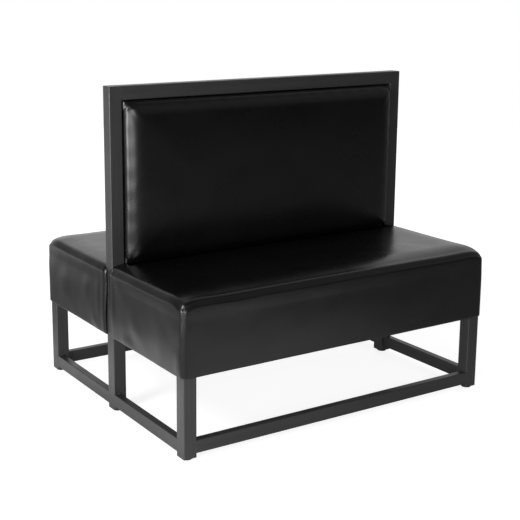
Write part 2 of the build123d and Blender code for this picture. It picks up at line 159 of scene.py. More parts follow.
def build_world():
    """White for the camera. The booth is lit by a white backdrop behind it, a wall in front and a ceiling."""
    world = bpy.data.worlds.new("studio")
    bpy.context.scene.world = world
    world.use_nodes = True
    tree = world.node_tree
    tree.nodes.clear()
    place = added(tree, "ShaderNodeTexCoord")
    parts = added(tree, "ShaderNodeSeparateXYZ", {0: place.outputs["Generated"]})
    bearing = combined(tree, "ARCTAN2", parts.outputs["X"], parts.outputs["Y"])
    degrees = combined(tree, "MULTIPLY", bearing, 180 / pi)

    def lit_by(bearing_stops, height_stops):
        around = shade_by(tree, degrees, -180, 180, bearing_stops)
        return combined(tree, "MULTIPLY", around, shade_by(tree, parts.outputs["Z"], -1, 1, height_stops))

    ceiling = shade_by(tree, parts.outputs["Z"], -1, 1, CEILING_UP)
    above = combined(tree, "ADD", lit_by(FRONT_WALL_ROUND, FRONT_WALL_UP), ceiling)
    total = combined(tree, "ADD", lit_by(BACKDROP_ROUND, BACKDROP_UP), above)
    room = added(tree, "ShaderNodeBackground", {"Strength": total})
    white = added(tree, "ShaderNodeBackground", {"Color": (1, 1, 1, 1)})
    ray = added(tree, "ShaderNodeLightPath")
    choice = {"Fac": ray.outputs["Is Camera Ray"], 1: room.outputs[0], 2: white.outputs[0]}
    shown = added(tree, "ShaderNodeMixShader", choice)
    added(tree, "ShaderNodeOutputWorld", {"Surface": shown.outputs[0]})


# The floor's glow, in metres: by the distance from the booth's middle, by X, by Y, and by the distance
# from a place in front of the booth. The camera sees the floor's white instead, by the first distance.
GLOW_CLOSE = ((0.3, 0.2), (0.6, 0.5), (0.8, 1.0), (0.97, 1.0), (1.2, 0.12), (1.8, 0))
GLOW_LEFT = ((-0.85, 1.0), (-0.45, 0.3), (0.4, 0.1))
GLOW_BEHIND = ((1.4, 0), (3.0, 0.85))
GLOW_IN_FRONT = ((0.4, 0.42), (1.05, 0))
IN_FRONT = (0, -1.5, 0)
FLOOR_WHITE = ((0, 0.84), (1.2, 0.84), (2.6, 1.0))


def lay_floor():
    """A pale floor that keeps the booth's shadow. Towards the booth it glows with painted light, close to the
    booth and behind it on the left.
    """
    bpy.ops.mesh.primitive_circle_add(vertices=96, radius=7, fill_type="NGON")
    floor = bpy.context.object
    floor.name = "floor"
    material = bpy.data.materials.new("pale_floor")
    material.use_nodes = True
    tree = material.node_tree
    tree.nodes.clear()
    place = added(tree, "ShaderNodeTexCoord").outputs["Object"]
    parts = added(tree, "ShaderNodeSeparateXYZ", {0: place})
    reach = added(tree, "ShaderNodeVectorMath", {0: place}, operation="LENGTH").outputs["Value"]
    from_front = added(tree, "ShaderNodeVectorMath", {0: place, 1: IN_FRONT}, operation="DISTANCE")
    close = shade_by(tree, reach, 0, 4, GLOW_CLOSE)
    left = shade_by(tree, parts.outputs["X"], -2, 2, GLOW_LEFT)
    behind = shade_by(tree, parts.outputs["Y"], -1, 5, GLOW_BEHIND)
    patches = shade_by(tree, from_front.outputs["Value"], 0, 2, GLOW_IN_FRONT)
    # Painted light: the floor's glow that lights the booth and shows in its vinyl
    for patch_of_light in (close, behind):
        patches = combined(tree, "ADD", patches, combined(tree, "MULTIPLY", patch_of_light, left))
    seen = added(tree, "ShaderNodeLightPath").outputs["Is Camera Ray"]
    white = shade_by(tree, reach, 0, 6, FLOOR_WHITE)
    level = added(tree, "ShaderNodeMix", {"Factor": seen, "A": patches, "B": white})
    paper = added(tree, "ShaderNodeBsdfDiffuse", {"Color": (0.5, 0.5, 0.5, 1)})
    glow = added(tree, "ShaderNodeEmission", {"Strength": level.outputs["Result"]})
    both = added(tree, "ShaderNodeAddShader", {0: paper.outputs[0], 1: glow.outputs[0]})
    added(tree, "ShaderNodeOutputMaterial", {"Surface": both.outputs[0]})
    floor.data.materials.append(material)


# Finishes

def new_finish(name):
    """A material with its node tree, shader and object coordinates."""
    material = bpy.data.materials.new(name)
    material.use_nodes = True
    tree = material.node_tree
    place = added(tree, "ShaderNodeTexCoord")
    return material, tree, tree.nodes["Principled BSDF"], place.outputs["Object"]


def mapped(tree, place, scale):
    return added(tree, "ShaderNodeMapping", {"Vector": place, "Scale": scale}).outputs["Vector"]


def noise_node(tree, place, scale, detail=3.0, roughness=0.5):
    inputs = {"Vector": place, "Scale": scale, "Detail": detail, "Roughness": roughness}
    return added(tree, "ShaderNodeTexNoise", inputs).outputs["Fac"]


def ranged(tree, value, low, high):
    """A noise's middle range spread from low to high."""
    inputs = {"Value": value, "From Min": 0.3, "From Max": 0.7, "To Min": low, "To Max": high}
    return added(tree, "ShaderNodeMapRange", inputs).outputs["Result"]


def blended(tree, value, dark, light):
    """A colour between two others, over a noise's middle range."""
    ramp = added(tree, "ShaderNodeValToRGB", {"Fac": value})
    for element, position, colour in zip(ramp.color_ramp.elements, (0.3, 0.7), (dark, light)):
        element.position = position
        element.color = (*colour, 1)
    return ramp.outputs["Color"]


def bumped(tree, height, distance, strength, before=None):
    bump = added(tree, "ShaderNodeBump", {"Height": height, "Distance": distance, "Strength": strength})
    if before is not None:
        feed(tree, bump, {"Normal": before})
    return bump.outputs["Normal"]


def black_vinyl():
    """Semi-gloss upholstery vinyl with a fine pebbled grain."""
    material, tree, shader, place = new_finish("black_vinyl")
    cloud = noise_node(tree, place, 7, 4)
    pebble_inputs = {"Vector": place, "Scale": 620, "Smoothness": 0.6}
    pebble = added(tree, "ShaderNodeTexVoronoi", pebble_inputs, feature="SMOOTH_F1")
    pores = noise_node(tree, place, 1700, 2)
    stretch_marks = noise_node(tree, place, 38, 3)
    grain = bumped(tree, pebble.outputs["Distance"], 0.09 * MM, 0.35)
    grain = bumped(tree, pores, 0.04 * MM, 0.3, grain)
    grain = bumped(tree, stretch_marks, 0.5 * MM, 0.14, grain)
    colour = blended(tree, cloud, (0.0008, 0.0008, 0.0009), (0.0017, 0.0017, 0.0018))
    roughness = ranged(tree, cloud, 0.25, 0.31)
    feed(tree, shader, {"Base Color": colour, "Normal": grain, "Roughness": roughness, "IOR": 1.5})
    return material


def powder_coat(name, stretch):
    """Satin black powder coat, with the tube's faint drawing lines under it along its length."""
    material, tree, shader, place = new_finish(name)
    lines = noise_node(tree, mapped(tree, place, stretch), 260, 2, 0.6)
    cloud = noise_node(tree, place, 11, 3)
    peel = noise_node(tree, place, 520, 2)
    coat = bumped(tree, peel, 0.06 * MM, 0.3)
    coat = bumped(tree, lines, 0.05 * MM, 0.35, coat)
    colour = blended(tree, lines, (0.017, 0.017, 0.018), (0.028, 0.028, 0.029))
    roughness = ranged(tree, cloud, 0.38, 0.48)
    feed(tree, shader, {"Base Color": colour, "Normal": coat, "Roughness": roughness, "IOR": 1.6})
    return material


def open_cell_foam():
    material, tree, shader, place = new_finish("open_cell_foam")
    cells = added(tree, "ShaderNodeTexVoronoi", {"Vector": place, "Scale": 900})
    colour = blended(tree, noise_node(tree, place, 14), (0.80, 0.74, 0.56), (0.88, 0.84, 0.70))
    pores = bumped(tree, cells.outputs["Distance"], 0.5 * MM, 0.7)
    feed(tree, shader, {"Base Color": colour, "Normal": pores, "Roughness": 0.95})
    return material


def veneer_figure(tree, place):
    """The long grain of rotary-cut veneer, along X."""
    return noise_node(tree, mapped(tree, place, (1.5, 22, 22)), 5, 5, 0.6)


def birch_plywood():
    """Birch veneer along X, with the darker glue lines of its plies across the thickness."""
    material, tree, shader, place = new_finish("birch_plywood")
    figure = veneer_figure(tree, place)
    ply_inputs = {"Vector": place, "Scale": 110, "Distortion": 0.4}
    plies = added(tree, "ShaderNodeTexWave", ply_inputs, bands_direction="Z")
    veneer = blended(tree, figure, (0.47, 0.31, 0.17), (0.68, 0.51, 0.32))
    tint_inputs = {"Factor": 0.35, "A": veneer, "B": plies.outputs["Color"]}
    tint = added(tree, "ShaderNodeMix", tint_inputs, data_type="RGBA", blend_type="MULTIPLY")
    grain = bumped(tree, figure, 0.15 * MM, 0.4)
    feed(tree, shader, {"Base Color": tint.outputs["Result"], "Normal": grain, "Roughness": 0.7})
    return material


def shade_black_board():
    """The core board is coloured black as painted shade, so that the gap round the panels stays dark and
    nothing pale shows in it.
    """
    material, tree, shader, place = new_finish("shade_black_board")
    figure = veneer_figure(tree, place)
    colour = blended(tree, figure, (0.008, 0.008, 0.008), (0.016, 0.015, 0.014))
    grain = bumped(tree, figure, 0.15 * MM, 0.4)
    feed(tree, shader, {"Base Color": colour, "Normal": grain, "Roughness": 0.8})
    return material


def moulded_nylon():
    material, tree, shader, place = new_finish("moulded_nylon")
    cloud = noise_node(tree, place, 160)
    colour = blended(tree, cloud, (0.016, 0.016, 0.017), (0.028, 0.028, 0.029))
    texture = bumped(tree, noise_node(tree, place, 1500, 2), 0.05 * MM, 0.4)
    feed(tree, shader, {"Base Color": colour, "Normal": texture, "Roughness": ranged(tree, cloud, 0.5, 0.62)})
    return material


def zinc_plate():
    """Bright zinc on turned steel, with fine turning rings round each stem."""
    material, tree, shader, place = new_finish("zinc_plate")
    rings = noise_node(tree, mapped(tree, place, (0.05, 0.05, 1)), 1400, 2)
    spangle = noise_node(tree, place, 240)
    colour = blended(tree, spangle, (0.52, 0.53, 0.54), (0.68, 0.68, 0.66))
    turned = bumped(tree, rings, 0.05 * MM, 0.4)
    roughness = ranged(tree, spangle, 0.25, 0.4)
    feed(tree, shader, {"Base Color": colour, "Metallic": 1, "Normal": turned, "Roughness": roughness})
    return material


def dust_cloth():
    """Black spun-bonded cloth with a fine pattern of bonding points."""
    material, tree, shader, place = new_finish("dust_cloth")
    fibres = noise_node(tree, mapped(tree, place, (1, 0.35, 1)), 900, 3)
    bonds = added(tree, "ShaderNodeTexVoronoi", {"Vector": place, "Scale": 480, "Randomness": 0.2})
    colour = blended(tree, fibres, (0.010, 0.010, 0.011), (0.030, 0.030, 0.032))
    weave = bumped(tree, bonds.outputs["Distance"], 0.2 * MM, 0.6)
    weave = bumped(tree, fibres, 0.15 * MM, 0.5, weave)
    feed(tree, shader, {"Base Color": colour, "Normal": weave, "Roughness": 0.95})
    return material



place_camera()
light_studio()
build_world()
lay_floor()

vinyl = black_vinyl()
coat_up = powder_coat("powder_coat_up", (1, 1, 0.012))
coat_along_x = powder_coat("powder_coat_along_x", (0.012, 1, 1))
coat_along_y = powder_coat("powder_coat_along_y", (1, 0.012, 1))
foam = open_cell_foam()
plywood = birch_plywood()
shade_black = shade_black_board()
nylon = moulded_nylon()
zinc = zinc_plate()
cloth = dust_cloth()

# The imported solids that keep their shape, by the start of the node's name
NODE_FINISHES = (
    (coat_up, ("centre_post", "leg_", "post_caps", "back_tabs")),
    (coat_along_x, ("top_rail", "bottom_rail", "seat_rail", "seat_centre_rail")),
    (coat_along_y, ("bottom_end_rail", "seat_end_rail")),
    (nylon, ("tube_end_plugs", "panel_clips", "glide_foot")),
    (zinc, ("glide_stem", "deck_screws", "tab_screws")),
    # The core board is black as painted shade in the gap round the panels
    (shade_black, ("back_core_board",)),
    (plywood, ("front_seat_deck", "front_seat_front_board", "front_seat_end_boards", "front_panel_backing")),
    (plywood, ("rear_seat_deck", "rear_seat_front_board", "rear_seat_end_boards", "rear_panel_backing")),
)

for node_name, node_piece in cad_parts.items():
    for finish, starts in NODE_FINISHES:
        if node_name.startswith(starts):
            node_piece.data.materials.clear()
            node_piece.data.materials.append(finish)


# Sheets of vinyl and foam, laid out on grids of lines

VINYL_THICKNESS = 1.2 * MM

# A grid line nearer than this to a border is taken to lie on it, and patches are joined where their
# points agree to a micrometre
NEAR = 1e-6
MICROMETRES = 1e6


def graded(length, first, growth, largest):
    """Places from 0 to length, close together at first."""
    places, step = [0.0], first
    while places[-1] + step < length:
        places.append(places[-1] + step)
        step = min(step * growth, largest)
    return np.array(places) * (length / places[-1])


def lines_both_ends(low, high, first, growth, largest, extra=()):
    """Grid lines that are close together near both ends, with extra lines added."""
    half = graded((high - low) / 2, first, growth, largest)
    lines = np.sort(np.concatenate([low + half, high - half, np.array(extra, float)]))
    keep = np.concatenate([[True], np.diff(lines) > NEAR / 10])
    return lines[keep]


def patch(first_lines, second_lines, place):
    """A grid of points, where place turns a pair of line values into a point."""
    a, b = np.meshgrid(first_lines, second_lines, indexing="ij")
    return np.stack(place(a, b), axis=-1)


def at_x(level):
    """Places a grid of Y and Z lines at one X."""
    return lambda y, z: (np.full_like(y, level), y, z)


def at_y(level):
    """Places a grid of X and Z lines at one Y."""
    return lambda x, z: (x, np.full_like(x, level), z)


def at_z(level):
    """Places a grid of X and Y lines at one height."""
    return lambda x, y: (x, y, np.full_like(x, level))


def sheet_from(patches):
    """One set of points and faces from patches that share their edges. A patch is (grid, flipped)."""
    points, faces, index = [], [], {}
    for grid, flipped in patches:
        rows, columns, _ = grid.shape
        numbers = np.empty((rows, columns), int)
        for i in range(rows):
            for j in range(columns):
                key = tuple(np.round(grid[i, j] * MICROMETRES).astype(int))
                if key not in index:
                    index[key] = len(points)
                    points.append(grid[i, j])
                numbers[i, j] = index[key]
        for i in range(rows - 1):
            for j in range(columns - 1):
                corner = [numbers[i, j], numbers[i + 1, j], numbers[i + 1, j + 1], numbers[i, j + 1]]
                corner = list(dict.fromkeys(corner))
                if len(corner) > 2:
                    faces.append(corner[::-1] if flipped else corner)
    return np.array(points), faces


def mirrored(points, faces, row):
    """A front piece's points and faces, turned round for the rear row."""
    if row < 0:
        return points, faces
    return points * np.array([1, -1, 1]), [face[::-1] for face in faces]


def mesh_piece(name, points, faces, material):
    mesh = bpy.data.meshes.new(name)
    mesh.from_pydata(points.tolist(), [], [list(map(int, face)) for face in faces])
    mesh.polygons.foreach_set("use_smooth", [True] * len(mesh.polygons))
    mesh.materials.append(material)
    mesh.update()
    return in_scene(name, mesh)


def smooth_step(low, high, value):
    """0 as far as low and 1 from high on, eased between them. High may be the smaller one."""
    share = np.clip((value - low) / (high - low), 0, 1)
    return share * share * (3 - 2 * share)


def bell(distance, width, power=2.0):
    """1 at no distance, and about a third at the width."""
    return np.exp(-((np.abs(distance) / width) ** power))


def ridge(first, second, start, end, width, height):
    """A soft fold along a straight line on a face, tapered at both ends."""
    run = np.array(end, float) - np.array(start, float)
    length = np.hypot(*run)
    run = run / length
    travel = (first - start[0]) * run[0] + (second - start[1]) * run[1]
    across = (second - start[1]) * run[0] - (first - start[0]) * run[1]
    taper = smooth_step(-0.15 * length, 0.35 * length, travel)
    taper = taper * smooth_step(1.15 * length, 0.6 * length, travel)
    return height * taper * bell(across, width)


def ripple(points, scale, offset):
    """Slow unevenness, the same on every run."""
    shift = Vector(offset)
    return np.array([noise.noise(Vector(point) * scale + shift) for point in points.tolist()])


def thickened(piece, thickness):
    """Gives a sheet its thickness, inwards from its outer face."""
    shell = piece.modifiers.new("thickness", "SOLIDIFY")
    shell.thickness = thickness
    shell.offset = -1


# Seat upholstery. It is shaped for the front seat and mirrored for the rear one. A tongue of it reaches
# back between the posts, under the back panel.

seat_x = seat_high.x - 1.5 * MM
seat_y = -seat_low.y - 1.5 * MM
seat_top = seat_high.z
seat_bottom = seat_low.z
post_side_y = -(post_high.y + 0.5 * MM)
tongue_x = -rail_low.x - 0.5 * MM
tongue_y = seat_high.y
panel_face_y = panel_low.y
tuck_top = panel_low.z - 1.0 * MM

SIDE_ROUND = 18 * MM
TOP_ROUND = 31 * MM
BOTTOM_ROUND = 8 * MM
HEM_CORNER = 7 * MM

# The first step and the growth of the vinyl's grid lines
SEAT_GRID = (1.2 * MM, 1.22)

# How far the top falls towards the ends and the front, and keeps up at the corners and in the middle
END_FALL, END_FALL_WIDTH = 10.0 * MM, 40 * MM
FRONT_FALL, FRONT_FALL_DEPTH = 19.5 * MM, 95 * MM
CORNER_LIFT, CORNER_LIFT_WIDTH = 12.0 * MM, 70 * MM
CROWN_FALL, MIDDLE_LIFT = 2.5 * MM, 1.2 * MM

# The roll along the top of the front
ROLL_HEIGHT, ROLL_WIDTH, ROLL_RISE = seat_top - 30 * MM, 28 * MM, 10.0 * MM

# How far the front and the ends stand out, in the pad's fullest band and lower down
PAD_BAND_HEIGHT, PAD_BAND_WIDTH = 462 * MM, 26 * MM
FRONT_BAND_SWELL, FRONT_LOWER_SWELL = 1.0 * MM, 2.2 * MM
END_BAND_SWELL, END_LOWER_SWELL = 1.4 * MM, 3.0 * MM

# Uneven stuffing
FRONT_UNEVENNESS, END_UNEVENNESS, TOP_UNEVENNESS = 1.1 * MM, 1.3 * MM, 1.0 * MM

# The gather at a front corner: its knot, how far it draws the vinyl down and in, and its short folds
KNOT_HEIGHT = 473 * MM
GATHER_DROP, GATHER_DROP_WIDTH, GATHER_DROP_HEIGHTS = 12.0 * MM, 32 * MM, (425 * MM, 480 * MM)
GATHER_LOW, GATHER_MORE, GATHER_WIDTH, GATHER_HEIGHTS = 0.6 * MM, 1.6 * MM, 24 * MM, (390 * MM, 475 * MM)
GATHER_RAYS, RAY_HEIGHT, RAY_LENGTH = 9.0, 0.22 * MM, 26 * MM
KNOT_DEPTH, KNOT_WIDTH = 0.25 * MM, 10 * MM
SEAM_DEPTH, SEAM_WIDTH = 0.18 * MM, 2.2 * MM

# A small dent in the front, near its right end, as X and height
DENT_PLACE = (278 * MM, 287 * MM)
DENT_DEPTH, DENT_WIDTH = 1.6 * MM, 9 * MM

# The ends' rear edges, and how far they lap over the posts' sides
REAR_EDGE, REAR_EDGE_WIDTH = 3.2 * MM, 9 * MM
LAP_LOW, LAP_MORE, LAP_HEIGHTS = 4.0 * MM, 8.0 * MM, (290 * MM, 430 * MM)
LAP_START = (254 * MM, 272 * MM)

# Folds on the seats' ends in millimetres: side of the booth, from (depth, height), to (depth, height),
# half width, height of the fold
FRONT_END_FOLDS = (
    (-1, (34, 470), (43, 300), 14, 1.8),
    (-1, (48, 462), (128, 402), 20, 1.5),
    (-1, (150, 372), (255, 296), 34, 1.6),
    (-1, (96, 268), (180, 278), 20, 1.8),
    (-1, (448, 262), (462, 345), 15, 1.5),
    (1, (36, 470), (46, 310), 13, 2.2),
    (1, (60, 462), (170, 400), 26, 1.5),
    (1, (446, 262), (460, 340), 16, 1.3),
)
REAR_END_FOLDS = (
    (-1, (33, 470), (31, 272), 10, 1.7),
    (-1, (70, 452), (66, 292), 15, 1.2),
    (-1, (150, 430), (166, 335), 26, 1.5),
    (-1, (322, 408), (336, 292), 42, 1.8),
    (-1, (120, 300), (62, 264), 20, 1.5),
    (1, (38, 470), (48, 320), 12, 2.2),
    (1, (90, 455), (210, 380), 28, 1.4),
    (1, (446, 262), (460, 335), 16, 1.3),
)

# Grid lines in millimetres in front of the posts, where the vinyl is tucked in, and across a hem
TUCK_LINES = (0, 6, 13, 20, 26, 30, 32, 34, 36, 38, 40, 43, 47, 52)
HEM_SHARES = np.array([0, 0.12, 0.3, 0.6, 1.0])


def hem_width(along, corner):
    """The vinyl's hem is narrow beside a leg and wide between the legs."""
    leg_side = corner - leg_high.x + leg_low.x - 8 * MM
    return 7 * MM + 18 * MM * smooth_step(leg_side, leg_side - 6 * MM, np.abs(along))


def front_hem(x, s):
    """The hem under the front, mitred at its corners."""
    width = s * hem_width(x, seat_x)
    corner = s * HEM_CORNER
    return x * (1 - corner / seat_x), -seat_y + width, np.full_like(x, seat_bottom)


def end_hem(sign):
    """The hem under one end."""
    def place(y, s):
        width = s * hem_width(y, seat_y)
        corner = s * HEM_CORNER
        share = (y - post_side_y) / (-seat_y - post_side_y)
        return sign * (seat_x - width), y + share * corner, np.full_like(y, seat_bottom)

    return place


def seat_patches():
    """The seat's box as grids: top, front, ends, rear strips beside the posts, and the hems underneath."""
    step_x = tongue_x + 0.8 * MM
    extra_x = (-step_x, -tongue_x, tongue_x, step_x)
    x_lines = lines_both_ends(-seat_x, seat_x, *SEAT_GRID, 8 * MM, extra_x)
    tuck_lines = post_side_y - np.array(TUCK_LINES) * MM
    y_front = -seat_y + graded(seat_y + tuck_lines[-1], *SEAT_GRID, 7 * MM)
    y_lines = np.unique(np.concatenate([y_front, tuck_lines]).round(7))
    z_knot = KNOT_HEIGHT + np.arange(-36, 14, 2.4) * MM
    z_lines = lines_both_ends(seat_bottom, seat_top, *SEAT_GRID, 6 * MM, (deck_high.z, *z_knot))
    z_tongue = z_lines[z_lines > deck_high.z - NEAR]
    x_tongue = x_lines[np.abs(x_lines) < tongue_x + NEAR]
    y_tongue = np.array([y_lines[-1], tongue_y])
    patches = [
        (patch(x_lines, y_lines, at_z(seat_top)), False),
        (patch(x_lines, z_lines, at_y(-seat_y)), False),
        (patch(x_tongue, y_tongue, at_z(seat_top)), False),
        (patch(x_tongue, z_tongue, at_y(tongue_y)), True),
        (patch(x_lines, HEM_SHARES, front_hem), True),
    ]
    for sign in (-1, 1):
        x_end = x_lines[x_lines * sign > tongue_x + 0.5 * MM]
        patches += [
            (patch(y_lines, z_lines, at_x(sign * seat_x)), sign < 0),
            (patch(x_end, z_lines, at_y(post_side_y)), True),
            (patch(y_lines, HEM_SHARES, end_hem(sign)), sign > 0),
        ]
    return patches


def round_box(points, inset):
    """Rounds the front, end, top and bottom edges of the box-shaped sheet, drawn in by inset."""
    x, y, z = points.T
    side, top, bottom = SIDE_ROUND - inset, TOP_ROUND - inset, BOTTOM_ROUND - inset
    core_x = np.clip(x, -(seat_x - SIDE_ROUND), seat_x - SIDE_ROUND)
    core_y = np.maximum(y, -(seat_y - SIDE_ROUND))
    core_z = np.clip(z, seat_bottom + BOTTOM_ROUND, seat_top - TOP_ROUND)
    from_x = (x - core_x) / SIDE_ROUND
    from_y = (y - core_y) / SIDE_ROUND
    from_z = np.where(z > core_z, (z - core_z) / TOP_ROUND, (z - core_z) / BOTTOM_ROUND)
    reach = 1 / np.maximum(np.sqrt(from_x**2 + from_y**2 + from_z**2), 1)
    up = np.where(z > core_z, top, bottom)
    return np.stack(
        [core_x + from_x * reach * side, core_y + from_y * reach * side, core_z + from_z * reach * up],
        axis=-1,
    )


def crown_drop(x, y):
    """How far the stuffed seat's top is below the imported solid's crown, and above it in the middle."""
    to_end = seat_x - np.abs(x)
    to_front = y + seat_y
    corner = np.sqrt(to_end**2 + to_front**2)
    drop = END_FALL * bell(to_end, END_FALL_WIDTH, 1.6)
    drop += FRONT_FALL * np.clip(1 - to_front / FRONT_FALL_DEPTH, 0, 1) ** 2
    drop -= CORNER_LIFT * bell(corner, CORNER_LIFT_WIDTH, 1.5)
    drop += CROWN_FALL * (x / seat_x) ** 2 - MIDDLE_LIFT
    return drop


def beside(distance):
    """1 within 4 mm of a face, and 0 from 30 mm off it."""
    return smooth_step(30 * MM, 4 * MM, distance)


def swellings(x, z, box_y):
    """How far the stuffed front and ends stand out, in the pad's band and between deck and hem."""
    pad_band = bell(z - PAD_BAND_HEIGHT, PAD_BAND_WIDTH)
    lower = np.sin(pi * np.clip((z - seat_bottom) / (deck_high.z - seat_bottom), 0, 1))
    deep = np.clip((box_y - post_side_y) / (-seat_y - post_side_y), 0, 1)
    arch = np.sin(pi * np.clip(deep * 0.86 + 0.14, 0, 1)) ** 0.5
    front = FRONT_BAND_SWELL * pad_band + FRONT_LOWER_SWELL * lower * (1 - (x / seat_x) ** 4)
    end = END_BAND_SWELL * pad_band + END_LOWER_SWELL * lower * arch
    return front, end


def fold_ends(x, y, z, folds, on_end):
    """Raises the folds on the seat's ends."""
    for side, start, end, width, rise in folds:
        start_at = (-start[0] * MM, start[1] * MM)
        end_at = (-end[0] * MM, end[1] * MM)
        shown = on_end * (np.sign(x) == side)
        x = x + side * shown * ridge(y, z, start_at, end_at, width * MM, rise * MM)
    return x


def pucker_corner(x, y, z, box, side, seams):
    """Draws the vinyl in where it is gathered at a front corner, with short folds fanned out below it."""
    seam_x, seam_y = side * (seat_x - 6 * MM), -(seat_y - 6 * MM)
    gap = np.sqrt((x - seam_x) ** 2 + (y - seam_y) ** 2)
    z = z - GATHER_DROP * bell(gap, GATHER_DROP_WIDTH, 1.15) * smooth_step(*GATHER_DROP_HEIGHTS, z)
    drawn_in = GATHER_LOW + GATHER_MORE * smooth_step(*GATHER_HEIGHTS, z)
    drawn_in = drawn_in * bell(gap, GATHER_WIDTH)
    x = x - side * drawn_in
    y = y + drawn_in
    if not seams:
        return x, y, z

    on_end, on_front = seat_x - side * box[0], box[1] + seat_y
    along, below = on_front - on_end, KNOT_HEIGHT - box[2]
    near = smooth_step(46 * MM, 24 * MM, np.maximum(on_end, on_front))
    near = near * smooth_step(0, 6 * MM, seat_top - box[2])
    reach = np.sqrt(along**2 + below**2)
    rays = np.cos(GATHER_RAYS * np.arctan2(along, below)) * smooth_step(4 * MM, 11 * MM, reach)
    rays = rays * bell(reach, RAY_LENGTH) * smooth_step(-12 * MM, 3 * MM, below)
    seam = bell(along, SEAM_WIDTH) * smooth_step(0, 14 * MM, below)
    raised = near * (RAY_HEIGHT * rays - KNOT_DEPTH * bell(reach, KNOT_WIDTH) - SEAM_DEPTH * seam)
    x = x + side * raised * smooth_step(24 * MM, 6 * MM, on_end)
    y = y - raised * smooth_step(24 * MM, 6 * MM, on_front)
    return x, y, z


def tuck_behind(x, y, z, box_x, box_y):
    """Rounds the ends' rear edges, and laps what stands proud of the posts a little over their sides."""
    behind = smooth_step(post_side_y - REAR_EDGE_WIDTH, post_side_y, box_y)
    at_end = bell(seat_x - np.abs(box_x), 5 * MM, 4) * behind
    x = x - np.sign(x) * REAR_EDGE * (1 - np.sqrt(np.clip(1 - behind**2, 0, 1))) * at_end
    proud = smooth_step(leg_high.x + 0.8 * MM, leg_high.x + 2.2 * MM, np.abs(x))
    lap = LAP_LOW + LAP_MORE * smooth_step(*LAP_HEIGHTS, z)
    y = y + lap * proud * behind * smooth_step(*LAP_START, z)
    return x, y


def press_under_panel(x, y, z, box_x, box_y, inset):
    """Lowers what lies under the back panel, so that the panel's foot presses into the seat."""
    under_panel = smooth_step(panel_high.x + 4 * MM, panel_high.x - 4 * MM, np.abs(box_x))
    under_panel = under_panel * smooth_step(panel_face_y - 3 * MM, panel_face_y + 6 * MM, box_y)
    under_panel = np.where(box_y > post_side_y + NEAR, 1.0, under_panel)
    deck = deck_high.z
    crown = seat_top - crown_drop(x, y) - inset
    share = (np.minimum(crown, tuck_top - inset) - deck) / (crown - deck)
    pressed = np.where(z > deck, deck + (z - deck) * share, z)
    return z * (1 - under_panel) + pressed * under_panel


def shape_seat(points, folds, inset=0.0, seams=True):
    """Moves the sheet's points from the box to the stuffed seat."""
    placed = round_box(points, inset)
    x, y, z = placed.T.copy()
    box_x, box_y, box_z = points.T
    from_end, from_front = seat_x - np.abs(box_x), box_y + seat_y
    to_end, to_front = seat_x - np.abs(x), y + seat_y
    height = smooth_step(deck_high.z + 2 * MM, seat_top - 8 * MM, z)
    z = z - crown_drop(x, y) * height
    z = z + ROLL_RISE * bell(ROLL_HEIGHT - box_z, ROLL_WIDTH) * beside(to_front)

    on_front = beside(to_front) * smooth_step(0, 12 * MM, from_end)
    on_end = beside(to_end) * smooth_step(0, 12 * MM, from_front)
    swell_front, swell_end = swellings(x, z, box_y)
    y = y - on_front * swell_front
    x = x + np.sign(x) * on_end * swell_end

    on_face = smooth_step(8 * MM, 20 * MM, from_end)
    on_face = on_face + smooth_step(8 * MM, 20 * MM, from_front) * beside(to_end)
    inner = smooth_step(20 * MM, 60 * MM, np.minimum(to_end, to_front))
    uneven = ripple(placed, 7.0, (1.7, 4.2, 8.1)) + 0.5 * ripple(placed, 17.0, (5.1, 0.4, 2.6))
    x = x + np.sign(x) * on_end * END_UNEVENNESS * uneven
    y = y - on_front * FRONT_UNEVENNESS * uneven * on_face
    z = z + TOP_UNEVENNESS * uneven * height * inner

    x = fold_ends(x, y, z, folds, on_end)
    for side in (-1, 1):
        x, y, z = pucker_corner(x, y, z, points.T, side, seams)
    dent = np.sqrt((x - DENT_PLACE[0]) ** 2 + (z - DENT_PLACE[1]) ** 2)
    y = y + on_front * DENT_DEPTH * bell(dent, DENT_WIDTH)
    x, y = tuck_behind(x, y, z, box_x, box_y)
    z = press_under_panel(x, y, z, box_x, box_y, inset)
    return np.stack([x, y, z], axis=-1)


# Seat foam

FOAM_INSET = 2.6 * MM
FOAM_GRID = (2 * MM, 1.3)
foam_rear_y = post_side_y - 8 * MM
foam_foot = board_low.z + 8 * MM


def foam_patches():
    """The seat's foam in one piece: the pad on the deck, and the thin foam down the front and the ends."""
    x_lines = lines_both_ends(-seat_x, seat_x, *FOAM_GRID, 14 * MM, (-deck_high.x, deck_high.x))
    y_lines = lines_both_ends(-seat_y, foam_rear_y, *FOAM_GRID, 13 * MM, (deck_low.y,))
    z_lines = lines_both_ends(foam_foot, seat_top, *FOAM_GRID, 11 * MM, (deck_high.z,))
    z_side = z_lines[z_lines < deck_high.z + NEAR]
    z_pad = z_lines[z_lines > deck_high.z - NEAR]
    x_deck = x_lines[np.abs(x_lines) < deck_high.x + NEAR]
    y_deck = y_lines[y_lines > deck_low.y - NEAR]
    y_nose = y_lines[y_lines < deck_low.y + NEAR]
    patches = [
        (patch(x_lines, y_lines, at_z(seat_top)), False),
        (patch(x_lines, z_lines, at_y(-seat_y)), False),
        (patch(x_deck, z_pad, at_y(foam_rear_y)), True),
        (patch(x_deck, y_deck, at_z(deck_high.z)), True),
        (patch(x_deck, z_side, at_y(deck_low.y)), True),
        (patch(x_deck, y_nose, at_z(foam_foot)), True),
    ]
    for sign in (-1, 1):
        flank = x_lines[x_lines * sign > deck_high.x - NEAR]
        patches += [
            (patch(y_lines, z_lines, at_x(sign * seat_x)), sign < 0),
            (patch(y_deck, z_side, at_x(sign * deck_high.x)), sign > 0),
            (patch(flank, z_lines, at_y(foam_rear_y)), True),
            (patch(flank, y_lines, at_z(foam_foot)), True),
        ]
    return patches


